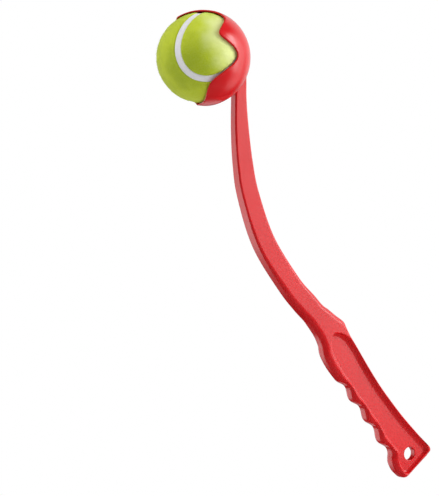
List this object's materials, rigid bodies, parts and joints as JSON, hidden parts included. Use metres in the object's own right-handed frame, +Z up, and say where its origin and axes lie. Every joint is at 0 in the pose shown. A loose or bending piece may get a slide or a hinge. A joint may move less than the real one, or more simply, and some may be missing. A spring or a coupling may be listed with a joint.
{
  "type": "dog ball thrower",
  "caption": "Curved plastic throwing arm with a scalloped cup that grips a felt-covered ball, and a finger-grooved handle with a hang hole.",
  "frame": {"origin": "centre of the hang hole in the handle, halfway through the handle's thickness", "axes": "+Z up as the thrower is held in the picture, cup above handle; the arm curves in the XZ plane and the cup opens towards -X; Y runs across the thickness"},
  "size_m": [0.2417, 0.0697, 0.3513],
  "materials": {
    "plastic": "glossy injection-moulded red plastic",
    "felt": "lime-green tennis felt with a short nap",
    "seam_rubber": "smooth white rubber",
    "core_rubber": "dull dark rubber",
    "cement": "dried rubber cement"
  },
  "bodies": {
    "thrower": {"ball_cup": "plastic", "throwing_arm": "plastic", "handle": "plastic"},
    "ball": {"felt_panel_1": "felt", "felt_panel_2": "felt", "rubber_seam": "seam_rubber", "core_half_1": "core_rubber", "core_half_2": "core_rubber", "core_cement": "cement"}
  },
  "joints": [
    {"name": "ball_spin", "type": "hinge", "parent": "thrower", "child": "ball", "pos_m": [-0.1897, 0, 0.2986], "axis": [0, 1, 0], "continuous": true}
  ]
}
